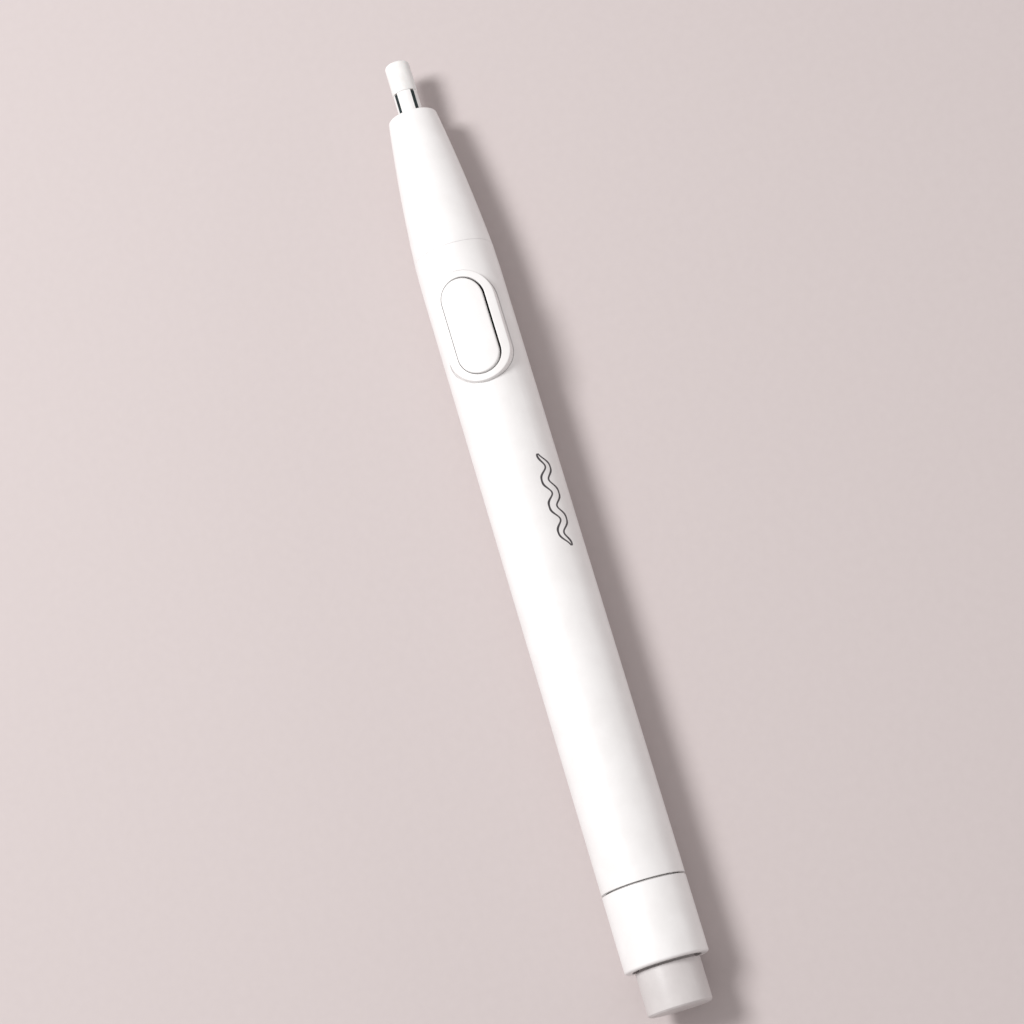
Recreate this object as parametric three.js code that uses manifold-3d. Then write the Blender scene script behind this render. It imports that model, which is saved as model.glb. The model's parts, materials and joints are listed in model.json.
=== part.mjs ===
// A pen-shaped battery electric eraser, lying with its push button up.
// Millimetres. +X runs along the pen towards the eraser, +Z is up, and the origin is on the
// resting surface under the middle of the pen. Inside the pen group, x is the distance from
// the tail end and y, z are measured from the pen's axis.
import * as THREE from "three";
import { mergeVertices } from "three/addons/utils/BufferGeometryUtils.js";
import Module from "manifold-3d";

const wasm = await Module();
wasm.setup();

// Driving dimensions: outside
const LENGTH = 180.75;
const BODY_RADIUS = 7.5;
const KNOB_RADIUS = 5.75;
const SHOULDER_X = 8.0;
const CAP_SEAM_X = 21.9;
const NOSE_SEAM_X = 141.4;
const NOSE_FACE_X = 169.6;
const NOSE_FACE_RADIUS = 4.55;
const NOSE_BASE_RADIUS = 7.38;
const NOSE_BULGE = 0.3;
const BARREL_FRONT_RADIUS = 7.4;
const HEAD_BASE_X = 174.6;
const HEAD_RADIUS = 2.33;
const SEAM_GAP = 0.3;

// Driving dimensions: button and the raised pad around it
const BUTTON_X = 125.2;
const BUTTON_LENGTH = 18.2;
const BUTTON_WIDTH = 7.6;
const BUTTON_GAP = 0.28;
const BUTTON_TOP = 8.35;
const PAD_LENGTH = 21.2;
const PAD_WIDTH = 11.4;
const PAD_TOP = 8.2;
const CROWN_RADIUS = 16;
const BUTTON_UNDERSIDE = 6.35;
const TAB_REACH = 0.85;
const TAB_HALF_WIDTH = 1.7;

// Driving dimensions: the screw joint of the battery cap
const SPIGOT_RADIUS = 5.6;
const SPIGOT_BORE = 4.4;
const SPIGOT_END_X = 27.5;
const SEAL_X = 22.85;
const THREAD_X = 24.1;
const THREAD_ROOT_RADIUS = 6.45;
const THREAD_LEAD = 1.6;
const THREAD_TURNS = 2;
const RIDGE_DEPTH = 0.6;
const RIDGE_SINK = 0.1;

// Driving dimensions: inside
const BORE_RADIUS = 5.9;
const NOSE_SOCKET_X = 136.4;
const NOSE_SOCKET_RADIUS = 6.3;
const BATTERY_RADIUS = 5.25;
const BATTERY_LENGTH = 44.5;
const BATTERY_X = 31.4;
const BULKHEAD_X = 121.5;
const BOARD_X = 123.5;
const BOARD_TOP = -0.4;
const SWITCH_X = 127.4;
const SWITCH_TOP = 3.0;
const PLUNGER_TOP = 4.65;
const CONTACT_FLANGE_X = 28.3;
const MOTOR_RADIUS = 5.0;
const MOTOR_REAR_X = 134.3;
const MOTOR_FRONT_X = 154.0;
const SHAFT_RADIUS = 0.75;
const SHAFT_BORE = 0.87;
const COLLET_RADIUS = 2.28;
const COLLET_BORE = 1.86;
const COLLET_SLOTS = 4;
const SLOT_X = 163.5;
const SLOT_WIDTH = 0.8;
const SLEEVE_RADIUS = 1.78;
const SLEEVE_BORE = 1.48;
const SHANK_RADIUS = 1.36;
const CLEARANCE = 0.1;

const SHELL_SIDES = 32;
const INNER_SIDES = 24;
const SMALL_SIDES = 16;

const FINISHES = {
  whiteShell: { color: 0xf4f2f1, roughness: 0.32, metalness: 0 },
  greyKnob: { color: 0xdad3d2, roughness: 0.38, metalness: 0 },
  whiteRubber: { color: 0xf2efe9, roughness: 0.85, metalness: 0 },
  darkRubber: { color: 0x14191b, roughness: 0.7, metalness: 0 },
  blackPlastic: { color: 0x1c1d1f, roughness: 0.5, metalness: 0 },
  creamPlastic: { color: 0xe4dfcf, roughness: 0.5, metalness: 0 },
  greenBoard: { color: 0x1d5a36, roughness: 0.45, metalness: 0 },
  batteryFoil: { color: 0x55606c, roughness: 0.35, metalness: 0.6 },
  steel: { color: 0xbfc2c5, roughness: 0.3, metalness: 1 },
  spring: { color: 0xc9ccd0, roughness: 0.25, metalness: 1 },
  brass: { color: 0xc9a35a, roughness: 0.35, metalness: 1 },
  copper: { color: 0xb4653a, roughness: 0.4, metalness: 1 },
  magnet: { color: 0x3a3b3e, roughness: 0.75, metalness: 0.2 },
};

// A solid for joining and cutting, from any closed geometry.
function solidOf(geometry) {
  const bare = geometry.clone();
  bare.deleteAttribute("normal");
  bare.deleteAttribute("uv");
  const merged = mergeVertices(bare, 1e-3);
  const corners = merged.index.array;
  const faces = [];
  for (let face = 0; face < corners.length; face += 3) {
    const [a, b, c] = corners.slice(face, face + 3);
    if (a !== b && b !== c && c !== a) faces.push(a, b, c);
  }
  return new wasm.Manifold(
    new wasm.Mesh({
      numProp: 3,
      vertProperties: Float32Array.from(merged.attributes.position.array),
      triVerts: Uint32Array.from(faces),
    }),
  );
}

function geometryOf(solid) {
  const mesh = solid.getMesh();
  const geometry = new THREE.BufferGeometry();
  geometry.setAttribute("position", new THREE.BufferAttribute(mesh.vertProperties, 3));
  geometry.setIndex(new THREE.BufferAttribute(mesh.triVerts, 1));
  geometry.computeVertexNormals();
  return geometry;
}

function joined(...geometries) {
  const [first, ...others] = geometries.map(solidOf);
  return geometryOf(others.reduce((sum, solid) => sum.add(solid), first));
}

function cut(geometry, ...tools) {
  const whole = solidOf(geometry);
  return geometryOf(tools.map(solidOf).reduce((rest, tool) => rest.subtract(tool), whole));
}

function common(geometry, other) {
  return geometryOf(solidOf(geometry).intersect(solidOf(other)));
}

// A turned piece about the pen's axis. The profile is a list of [x, radius] corners that runs
// round the section so that the outside is passed towards +X; radii are to the flats.
function turned(profile, sides = INNER_SIDES, closed = true) {
  const toCorner = 1 / Math.cos(Math.PI / sides);
  const points = profile.map(([x, radius]) => new THREE.Vector2(radius * toCorner, x));
  if (closed) points.push(points[0].clone());
  const geometry = new THREE.LatheGeometry(points, sides, Math.PI / sides);
  return geometry.rotateZ(-Math.PI / 2);
}

// A tube section between two stations.
function ring(fromX, toX, innerRadius, outerRadius, sides = INNER_SIDES) {
  const section = [
    [fromX, innerRadius],
    [fromX, outerRadius],
    [toX, outerRadius],
    [toX, innerRadius],
  ];
  return turned(section, sides);
}

// A solid round bar between two stations.
function rod(fromX, toX, radius, sides = INNER_SIDES) {
  return turned([[fromX, 0], [fromX, radius], [toX, radius], [toX, 0]], sides, false);
}

function block([fromX, toX], [fromY, toY], [fromZ, toZ]) {
  const geometry = new THREE.BoxGeometry(toX - fromX, toY - fromY, toZ - fromZ);
  return geometry.translate((fromX + toX) / 2, (fromY + toY) / 2, (fromZ + toZ) / 2);
}

// A span between two distances from `middle`, on the side given by the sign of `side`.
function spanBeside(middle, side, near, far) {
  return [middle + side * near, middle + side * far].sort((a, b) => a - b);
}

// A round post that stands along Z.
function post(x, radius, fromZ, toZ) {
  const geometry = new THREE.CylinderGeometry(radius, radius, toZ - fromZ, SMALL_SIDES);
  return geometry.rotateX(Math.PI / 2).translate(x, 0, (fromZ + toZ) / 2);
}

// A stadium outline standing on the pen, centred on the button.
function stadium(length, width, fromZ, toZ) {
  const radius = width / 2;
  const reach = length / 2 - radius;
  const outline = new THREE.Shape();
  outline.absarc(reach, 0, radius, -Math.PI / 2, Math.PI / 2);
  outline.absarc(-reach, 0, radius, Math.PI / 2, Math.PI * 1.5);
  const geometry = new THREE.ExtrudeGeometry(outline, {
    depth: toZ - fromZ,
    bevelEnabled: false,
    curveSegments: 8,
  });
  return geometry.translate(BUTTON_X, 0, fromZ);
}

// A long round bar whose top is the crowned surface of the pad or the button.
function crown(top) {
  const sides = 96;
  const bar = rod(BUTTON_X - PAD_LENGTH, BUTTON_X + PAD_LENGTH, CROWN_RADIUS, sides);
  return bar.translate(0, 0, top - CROWN_RADIUS);
}

// An extrusion along X of an arc-shaped section centred on the angle `middle`, in the YZ plane.
function arcBar(fromX, toX, innerRadius, outerRadius, middle, halfAngle) {
  const outline = new THREE.Shape();
  outline.absarc(0, 0, outerRadius, middle - halfAngle, middle + halfAngle);
  outline.absarc(0, 0, innerRadius, middle + halfAngle, middle - halfAngle, true);
  const geometry = new THREE.ExtrudeGeometry(outline, {
    depth: toX - fromX,
    bevelEnabled: false,
    curveSegments: 8,
  });
  return geometry.rotateY(Math.PI / 2).translate(fromX, 0, 0);
}

// A coil of wire about the Z axis, for a spring.
class Helix extends THREE.Curve {
  constructor(radius, height, turns) {
    super();
    Object.assign(this, { radius, height, turns });
  }

  getPoint(t, target = new THREE.Vector3()) {
    const angle = t * this.turns * 2 * Math.PI;
    return target.set(this.radius * Math.cos(angle), this.radius * Math.sin(angle), this.height * t);
  }
}

// A coil spring that stands along Z, within z = 0 and `height` over the wire's outside. The
// wire's round section tilts with the helix, so each end keeps a margin above its radius.
function coil(radius, wireRadius, height, turns) {
  const margin = 1.2 * wireRadius;
  const stepsPerTurn = 14;
  const outline = new THREE.Shape();
  outline.absarc(0, 0, wireRadius, 0, 2 * Math.PI);
  const geometry = new THREE.ExtrudeGeometry(outline, {
    extrudePath: new Helix(radius, height - 2 * margin, turns),
    steps: Math.round(turns * stepsPerTurn),
    curveSegments: 3,
  });
  return geometry.translate(0, 0, margin);
}

// A screw thread's ridge: a four-cornered section swept round the axis along its helix. It
// stands on the radius `wall`, outwards or inwards by the sign of `outwards`, and sinks in a little.
function helicalRidge(startX, wall, outwards) {
  const root = wall - outwards * RIDGE_SINK;
  const crest = wall + outwards * RIDGE_DEPTH;
  const rootWidth = 0.72;
  const crestWidth = 0.4;
  const steps = SHELL_SIDES * THREAD_TURNS;
  const corners = [
    [-rootWidth / 2, root],
    [-crestWidth / 2, crest],
    [crestWidth / 2, crest],
    [rootWidth / 2, root],
  ];
  if (outwards > 0) corners.reverse();
  const positions = [];
  for (let step = 0; step <= steps; step += 1) {
    const angle = ((step + 0.5) / SHELL_SIDES) * 2 * Math.PI;
    const advance = startX + (step / SHELL_SIDES) * THREAD_LEAD;
    for (const [offset, radius] of corners) {
      positions.push(advance + offset, radius * Math.cos(angle), radius * Math.sin(angle));
    }
  }
  const faces = [0, 2, 1, 0, 3, 2];
  for (let step = 0; step < steps; step += 1) {
    for (let corner = 0; corner < 4; corner += 1) {
      const [a, b] = [step * 4 + corner, step * 4 + ((corner + 1) % 4)];
      faces.push(a, b, a + 4, b, b + 4, a + 4);
    }
  }
  const last = steps * 4;
  faces.push(last, last + 1, last + 2, last, last + 2, last + 3);
  const geometry = new THREE.BufferGeometry();
  geometry.setAttribute("position", new THREE.Float32BufferAttribute(positions, 3));
  geometry.setIndex(faces);
  return geometry;
}

const pen = new THREE.Group();
pen.position.set(-LENGTH / 2, 0, BODY_RADIUS);

function add(name, geometry, finish) {
  const mesh = new THREE.Mesh(geometry, new THREE.MeshStandardMaterial(FINISHES[finish]));
  mesh.name = name;
  pen.add(mesh);
  return mesh;
}

// Tail: the knob, necked where it leaves the cap, the screw cap that holds it, and the seal.
function tail() {
  const chamfer = 0.25;
  const knobEnd = 14.6;
  const cupRadius = 4.6;
  const cupFloor = 1.6;
  const neckRadius = 5.15;
  const [neckRear, neckFront] = [SHOULDER_X - 0.35, SHOULDER_X + 1];
  const knob = turned(
    [
      [0, 0],
      [0, KNOB_RADIUS - chamfer],
      [chamfer, KNOB_RADIUS],
      [neckRear, KNOB_RADIUS],
      [neckRear, neckRadius],
      [neckFront, neckRadius],
      [neckFront, KNOB_RADIUS],
      [knobEnd, KNOB_RADIUS],
      [knobEnd, cupRadius],
      [cupFloor, cupRadius],
      [cupFloor, 0],
    ],
    SHELL_SIDES,
    false,
  );
  add("tail_knob", knob, "greyKnob");

  const socketEnd = knobEnd + 0.4;
  const webEnd = socketEnd + 1.5;
  const shoulder = 1.3;
  const skirtEnd = CAP_SEAM_X - SEAM_GAP / 2;
  const [grooveRear, grooveFront] = [SEAL_X - 0.6, SEAL_X + 0.6];
  const grooveRadius = 5.25;
  const shell = turned(
    [
      [socketEnd, 0],
      [socketEnd, KNOB_RADIUS + CLEARANCE],
      [SHOULDER_X, KNOB_RADIUS + CLEARANCE],
      [SHOULDER_X, BODY_RADIUS - shoulder],
      ...filletCorners(SHOULDER_X + shoulder, BODY_RADIUS - shoulder, shoulder, -1),
      [SHOULDER_X + shoulder, BODY_RADIUS],
      [skirtEnd, BODY_RADIUS],
      [skirtEnd, SPIGOT_RADIUS],
      [grooveRear, SPIGOT_RADIUS],
      [grooveRear, grooveRadius],
      [grooveFront, grooveRadius],
      [grooveFront, SPIGOT_RADIUS],
      [SPIGOT_END_X, SPIGOT_RADIUS],
      [SPIGOT_END_X, SPIGOT_BORE],
      [webEnd, SPIGOT_BORE],
      [webEnd, 0],
    ],
    SHELL_SIDES,
    false,
  );
  add("tail_cap", joined(shell, helicalRidge(THREAD_X, SPIGOT_RADIUS, 1)), "whiteShell");

  const sealWire = 0.42;
  const sealRadius = 5.86;
  const seal = new THREE.TorusGeometry(sealRadius, sealWire, 8, SHELL_SIDES);
  add("cap_seal_ring", seal.rotateY(Math.PI / 2).translate(SEAL_X, 0, 0), "darkRubber");
}

// Points along a quarter circle between a flat end, on the side given by `side`, and a round wall.
function filletCorners(centreX, centreRadius, radius, side) {
  const corners = [];
  const steps = 4;
  for (let step = 1; step < steps; step += 1) {
    const angle = (step / steps) * (Math.PI / 2);
    corners.push([centreX + side * radius * Math.cos(angle), centreRadius + radius * Math.sin(angle)]);
  }
  return corners;
}

// Barrel: one moulded tube with the raised pad, the button opening and the cap's thread.
function barrel() {
  const rear = CAP_SEAM_X + SEAM_GAP / 2;
  const front = NOSE_SEAM_X - SEAM_GAP / 2;
  const tube = turned(
    [
      [rear, 0],
      [rear, BODY_RADIUS],
      [NOSE_SOCKET_X, BODY_RADIUS],
      [front, BARREL_FRONT_RADIUS],
      [front, 0],
    ],
    SHELL_SIDES,
    false,
  );
  const [low, high] = [2, 10];
  const pad = common(stadium(PAD_LENGTH, PAD_WIDTH, low, high), crown(PAD_TOP));
  const threadRelief = 0.5;
  const cavity = turned(
    [
      [rear - 1, 0],
      [rear - 1, THREAD_ROOT_RADIUS],
      [SPIGOT_END_X, THREAD_ROOT_RADIUS],
      [SPIGOT_END_X + threadRelief, BORE_RADIUS],
      [NOSE_SOCKET_X, BORE_RADIUS],
      [NOSE_SOCKET_X, NOSE_SOCKET_RADIUS],
      [front + 1, NOSE_SOCKET_RADIUS],
      [front + 1, 0],
    ],
    SHELL_SIDES,
    false,
  );
  const wide = BUTTON_WIDTH + 2 * BUTTON_GAP;
  const opening = stadium(BUTTON_LENGTH + 2 * BUTTON_GAP, wide, low, high);
  const shell = cut(joined(tube, pad), cavity, opening, ...tabPockets());
  const ridge = helicalRidge(THREAD_X + THREAD_LEAD / 2, THREAD_ROOT_RADIUS, -1);
  add("barrel", joined(shell, ridge), "whiteShell");
}

// Pockets under the pad, at both ends of the opening, that hold the button's tabs down and
// leave them room to sink.
function tabPockets() {
  const room = 0.3;
  const heights = [5.0, 7.15];
  return [-1, 1].map((side) => {
    const reach = BUTTON_LENGTH / 2;
    const span = spanBeside(BUTTON_X, side, reach - 1, reach + TAB_REACH + room);
    return block(span, [-TAB_HALF_WIDTH - room, TAB_HALF_WIDTH + room], heights);
  });
}

// Nose: the tapered front shell and the plain bearing that carries the collet.
function nose() {
  const taper = [];
  const steps = 8;
  for (let step = 0; step < steps; step += 1) {
    const along = step / steps;
    const straight = THREE.MathUtils.lerp(NOSE_BASE_RADIUS, NOSE_FACE_RADIUS, along);
    const x = THREE.MathUtils.lerp(NOSE_SEAM_X, NOSE_FACE_X, along);
    taper.push([x, straight + 4 * NOSE_BULGE * along * (1 - along)]);
  }
  const edge = 0.2;
  const spigotStart = NOSE_SOCKET_X + 0.5;
  const spigotRadius = NOSE_SOCKET_RADIUS - 0.15;
  const motorBore = MOTOR_RADIUS + 2 * CLEARANCE;
  const motorSeat = MOTOR_FRONT_X + 1.2;
  const spindleBore = 3.85;
  const [bearingRear, bearingFront] = [SLOT_X, 168.2];
  const [bearingBore, bearingRadius] = [2.55, 3.4];
  const lip = bearingFront + 0.3;
  const lipBore = 2.75;
  const shell = turned(
    [
      [spigotStart, motorBore],
      [spigotStart, spigotRadius],
      [NOSE_SEAM_X, spigotRadius],
      ...taper,
      [NOSE_FACE_X - edge, NOSE_FACE_RADIUS],
      [NOSE_FACE_X, NOSE_FACE_RADIUS - edge],
      [NOSE_FACE_X, lipBore],
      [lip, lipBore],
      [lip, bearingRadius + CLEARANCE],
      [bearingRear - 0.3, bearingRadius + CLEARANCE],
      [bearingRear - 0.3, spindleBore],
      [motorSeat, spindleBore],
      [motorSeat, motorBore],
    ],
    SHELL_SIDES,
  );
  add("nose_cone", shell, "whiteShell");
  add("front_bearing", ring(bearingRear, bearingFront, bearingBore, bearingRadius), "brass");
}

// Push button, and the switch under it with its return spring and board.
function button() {
  const outline = stadium(BUTTON_LENGTH, BUTTON_WIDTH, BUTTON_UNDERSIDE, BUTTON_TOP + 1);
  const face = common(outline, crown(BUTTON_TOP));
  const tabs = [-1, 1].map((side) => {
    const reach = BUTTON_LENGTH / 2;
    const span = spanBeside(BUTTON_X, side, reach - 1, reach + TAB_REACH);
    return block(span, [-TAB_HALF_WIDTH, TAB_HALF_WIDTH], [BUTTON_UNDERSIDE, 6.9]);
  });
  const pusherBottom = PLUNGER_TOP + CLEARANCE;
  const pusher = block(
    [SWITCH_X - 3.2, SWITCH_X + 3.2],
    [-2.4, 2.4],
    [pusherBottom, BUTTON_UNDERSIDE + 0.2],
  );
  add("button_cap", joined(face, ...tabs, pusher), "whiteShell");

  const half = 3;
  const housing = block(
    [SWITCH_X - half, SWITCH_X + half],
    [-half, half],
    [BOARD_TOP + CLEARANCE, SWITCH_TOP],
  );
  const plungerRadius = 1.5;
  const well = post(SWITCH_X, plungerRadius + 0.25, 0, SWITCH_TOP + 1);
  add("switch_housing", cut(housing, well), "blackPlastic");
  add("switch_plunger", post(SWITCH_X, plungerRadius, 0.9, PLUNGER_TOP), "creamPlastic");
  const spring = coil(2.1, 0.16, pusherBottom - SWITCH_TOP - 2 * CLEARANCE, 2.5);
  add("button_spring", spring.translate(SWITCH_X, 0, SWITCH_TOP + CLEARANCE), "spring");
  const [boardLength, boardHalfWidth, boardThickness] = [9.5, 5.6, 1];
  const board = block(
    [BOARD_X, BOARD_X + boardLength],
    [-boardHalfWidth, boardHalfWidth],
    [BOARD_TOP - boardThickness, BOARD_TOP],
  );
  add("switch_board", board, "greenBoard");
}

// Power: two cells in line, and the contacts at their ends.
function power() {
  ["rear", "front"].forEach((place, index) => {
    const start = BATTERY_X + index * (BATTERY_LENGTH + CLEARANCE);
    add(`${place}_battery`, batteryCell(start), "batteryFoil");
  });
  positiveContact();
  negativeContact();
  returnStrip();
}

// One AAA cell, with its rounded edges and the positive button at its front.
function batteryCell(start) {
  const end = start + BATTERY_LENGTH;
  const face = end - 0.8;
  const buttonRadius = 1.9;
  const edge = 0.3;
  return turned(
    [
      [start, 0],
      [start, BATTERY_RADIUS - 0.5],
      [start + edge, BATTERY_RADIUS],
      [face - edge, BATTERY_RADIUS],
      [face, BATTERY_RADIUS - 0.5],
      [face, buttonRadius],
      [end, buttonRadius],
      [end, 0],
    ],
    INNER_SIDES,
    false,
  );
}

// The front contact plate, and the bulkhead that it stands against.
function positiveContact() {
  const plate = rod(BULKHEAD_X - 0.6, BULKHEAD_X - 0.2, 3.6);
  const bump = rod(BULKHEAD_X - 0.8, BULKHEAD_X - 0.4, 1.2);
  const tab = block([BULKHEAD_X - 0.4, BOARD_X + 0.7], [-1, 1], [-0.25, 0.05]);
  add("positive_contact", joined(plate, bump, tab), "steel");

  const disc = rod(BULKHEAD_X, BULKHEAD_X + 1.4, 5.72);
  const through = [BULKHEAD_X - 1, BULKHEAD_X + 2];
  const tabHole = block(through, [-1.3, 1.3], [-0.5, 0.3]);
  const stripNotch = block(through, [5.2, 7], [-1.4, 1.4]);
  const topFlat = block(through, [-7, 7], [5.1, 7]);
  add("contact_bulkhead", cut(disc, tabHole, stripNotch, topFlat), "creamPlastic");
}

// The rear contact, a flanged cup that rides in the cap's spigot, and the spring on it.
function negativeContact() {
  const sheet = 0.4;
  const [cupRear, cupInner, flangeRadius, hole] = [25.5, 3.9, 5.35, 2.5];
  const cupOuter = cupInner + 0.3;
  const flangeBack = CONTACT_FLANGE_X - sheet;
  const flange = turned([
    [cupRear, cupInner],
    [cupRear, cupOuter],
    [flangeBack, cupOuter],
    [flangeBack, flangeRadius],
    [CONTACT_FLANGE_X, flangeRadius],
    [CONTACT_FLANGE_X, hole],
    [flangeBack, hole],
    [flangeBack, cupInner],
  ]);
  add("negative_contact", flange, "steel");
  const spring = coil(3.3, 0.26, BATTERY_X - CONTACT_FLANGE_X - 2 * CLEARANCE, 3);
  spring.rotateY(Math.PI / 2).translate(CONTACT_FLANGE_X + CLEARANCE, 0, 0);
  add("battery_spring", spring, "spring");
}

// The flat strip that brings the rear contact's current forward, with a bent foot at each end.
function returnStrip() {
  const [outer, thickness, width] = [5.7, 0.25, 2.2];
  const inner = outer - thickness;
  const [rear, rearFoot] = [CONTACT_FLANGE_X + 0.2, 4.75];
  const [front, frontFoot] = [BOARD_X - 0.25, 4.4];
  const outline = new THREE.Shape();
  outline.moveTo(rear, rearFoot);
  outline.lineTo(rear + thickness, rearFoot);
  outline.lineTo(rear + thickness, inner);
  outline.lineTo(front - thickness, inner);
  outline.lineTo(front - thickness, frontFoot);
  outline.lineTo(front, frontFoot);
  outline.lineTo(front, outer);
  outline.lineTo(rear, outer);
  outline.closePath();
  const strip = new THREE.ExtrudeGeometry(outline, { depth: width, bevelEnabled: false });
  add("return_strip", strip.translate(0, 0, -width / 2), "brass");
}

// Motor: a small brushed motor's fixed pieces, then its rotor.
function motor() {
  const wall = 0.35;
  const canRear = MOTOR_REAR_X + 1.7;
  const frontHole = 1.7;
  const can = turned([
    [canRear, MOTOR_RADIUS - wall],
    [canRear, MOTOR_RADIUS],
    [MOTOR_FRONT_X, MOTOR_RADIUS],
    [MOTOR_FRONT_X, frontHole],
    [MOTOR_FRONT_X - 0.5, frontHole],
    [MOTOR_FRONT_X - 0.5, MOTOR_RADIUS - wall],
  ]);
  add("motor_can", can, "steel");
  const bushBore = SHAFT_RADIUS + 2 * CLEARANCE;
  const [capRadius, capSpigot] = [4.9, 4.5];
  const endCap = turned([
    [MOTOR_REAR_X, bushBore],
    [MOTOR_REAR_X, capRadius],
    [canRear - 0.2, capRadius],
    [canRear - 0.2, capSpigot],
    [canRear + 0.8, capSpigot],
    [canRear + 0.8, bushBore],
  ]);
  add("motor_end_cap", endCap, "blackPlastic");
  const bush = ring(MOTOR_FRONT_X - 0.8, MOTOR_FRONT_X + 0.6, bushBore, 1.6, SMALL_SIDES);
  add("motor_bush", bush, "brass");
  const washer = ring(MOTOR_FRONT_X + 0.3, MOTOR_FRONT_X + 0.9, 2.0, capRadius);
  add("motor_washer", washer, "darkRubber");
  ["lower", "upper"].forEach((place, index) => {
    const magnet = arcBar(139.0, 151.0, 3.8, 4.5, index * Math.PI, 1.15);
    add(`motor_magnet_${place}`, magnet, "magnet");
  });
  motorConnections();
  rotor();
}

// On each side of the motor: its terminal, its brush and the lead from the board.
function motorConnections() {
  ["right", "left"].forEach((name, index) => {
    const side = 2 * index - 1;
    const tag = [MOTOR_REAR_X - 1, MOTOR_REAR_X - CLEARANCE];
    const terminal = block(tag, spanBeside(0, side, 3.25, 3.55), [-0.7, 0.7]);
    add(`motor_terminal_${name}`, terminal, "brass");
    const brush = block([137.0, 139.2], spanBeside(0, side, 1.8, 2.0), [-0.6, 0.6]);
    add(`motor_brush_${name}`, brush, "copper");
    add(`motor_lead_${name}`, lead(side * 3.4), "darkRubber");
  });
}

// A short insulated wire from the board up to a motor terminal.
function lead(y) {
  const wireRadius = 0.3;
  const height = 0.6;
  const [foot, end] = [131.6, MOTOR_REAR_X - 1.1];
  const path = new THREE.QuadraticBezierCurve3(
    new THREE.Vector3(foot, y, BOARD_TOP + CLEARANCE),
    new THREE.Vector3(foot, y, height),
    new THREE.Vector3(end, y, height),
  );
  const outline = new THREE.Shape();
  outline.absarc(0, 0, wireRadius, 0, 2 * Math.PI);
  return new THREE.ExtrudeGeometry(outline, { extrudePath: path, steps: 6, curveSegments: 4 });
}

// Rotor: shaft, commutator, three-pole armature and its windings.
function rotor() {
  const poles = 3;
  add("motor_shaft", rod(134.9, 158.2, SHAFT_RADIUS, SMALL_SIDES), "steel");
  add("motor_commutator", ring(137.2, 139.2, SHAFT_BORE, 1.5, SMALL_SIDES), "copper");
  const [from, to] = [141.0, 149.0];
  const pieces = [ring(from, to, SHAFT_BORE, 1.4, SMALL_SIDES)];
  for (let pole = 0; pole < poles; pole += 1) {
    const turn = (pole / poles) * 2 * Math.PI;
    const neck = block([from, to], [-0.5, 0.5], [1.2, 3.1]);
    pieces.push(neck.rotateX(turn));
    pieces.push(arcBar(from, to, 2.95, 3.5, Math.PI, 0.8).rotateX(turn));
    const wound = block([from - 0.8, to + 0.8], [-1.1, 1.1], [1.65, 2.7]);
    const eye = block([from - 0.1, to + 0.1], [-0.6, 0.6], [1, 3.5]);
    add(`motor_winding_${pole + 1}`, cut(wound, eye).rotateX(turn), "copper");
  }
  add("motor_armature", joined(...pieces), "steel");
}

// Copies of a bar that stands up from the axis, one at each of the collet's slots.
function atSlots(makeBar) {
  return Array.from({ length: COLLET_SLOTS }, (_, slot) => {
    const turn = ((slot + 0.5) / COLLET_SLOTS) * 2 * Math.PI;
    return makeBar().rotateX(turn);
  });
}

// Spindle: what the motor turns, from the coupling to the refill.
function spindle() {
  const [rear, front, radius] = [155.6, 162.6, 3.2];
  const socket = 158.5;
  const socketBore = COLLET_RADIUS + 2 * CLEARANCE;
  const coupling = turned([
    [rear, SHAFT_BORE],
    [rear, radius],
    [front, radius],
    [front, socketBore],
    [socket, socketBore],
    [socket, SHAFT_BORE],
  ]);
  add("spindle_coupling", coupling, "blackPlastic");

  const colletRear = socket + 0.3;
  const colletFront = HEAD_BASE_X - CLEARANCE;
  const colletFloor = 160.2;
  const tube = turned(
    [
      [colletRear, 0],
      [colletRear, COLLET_RADIUS],
      [colletFront, COLLET_RADIUS],
      [colletFront, COLLET_BORE],
      [colletFloor, COLLET_BORE],
      [colletFloor, 0],
    ],
    INNER_SIDES,
    false,
  );
  const halfSlot = SLOT_WIDTH / 2;
  const slots = atSlots(() => block([SLOT_X, HEAD_BASE_X + 1], [-halfSlot, halfSlot], [1.5, 3]));
  add("collet", cut(tube, ...slots), "whiteShell");

  const sleeveRear = colletFloor + 0.2;
  const sleeveFront = colletFront - CLEARANCE;
  const ribHalf = halfSlot - 0.06;
  const ribTop = COLLET_RADIUS - 0.1;
  const ribs = atSlots(() =>
    block([SLOT_X + 0.3, sleeveFront - 0.05], [-ribHalf, ribHalf], [SLEEVE_BORE + 0.1, ribTop]),
  );
  const liner = ring(sleeveRear, sleeveFront, SLEEVE_BORE, SLEEVE_RADIUS);
  add("grip_sleeve", joined(liner, ...ribs), "darkRubber");
  add("eraser_refill", refill(colletFloor + 0.4), "whiteRubber");
}

// The eraser refill: a narrow shank in the sleeve, and the head that rubs.
function refill(rear) {
  const round = 0.6;
  const neck = HEAD_BASE_X + CLEARANCE;
  return turned(
    [
      [rear, 0],
      [rear, SHANK_RADIUS],
      [neck, SHANK_RADIUS],
      [neck, HEAD_RADIUS],
      [LENGTH - round, HEAD_RADIUS],
      ...filletCorners(LENGTH - round, HEAD_RADIUS - round, round, 1).reverse(),
      [LENGTH, HEAD_RADIUS - round],
      [LENGTH, 0],
    ],
    INNER_SIDES,
    false,
  );
}

tail();
barrel();
nose();
button();
power();
motor();
spindle();

const group = new THREE.Group();
group.add(pen);

export default group;
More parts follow.
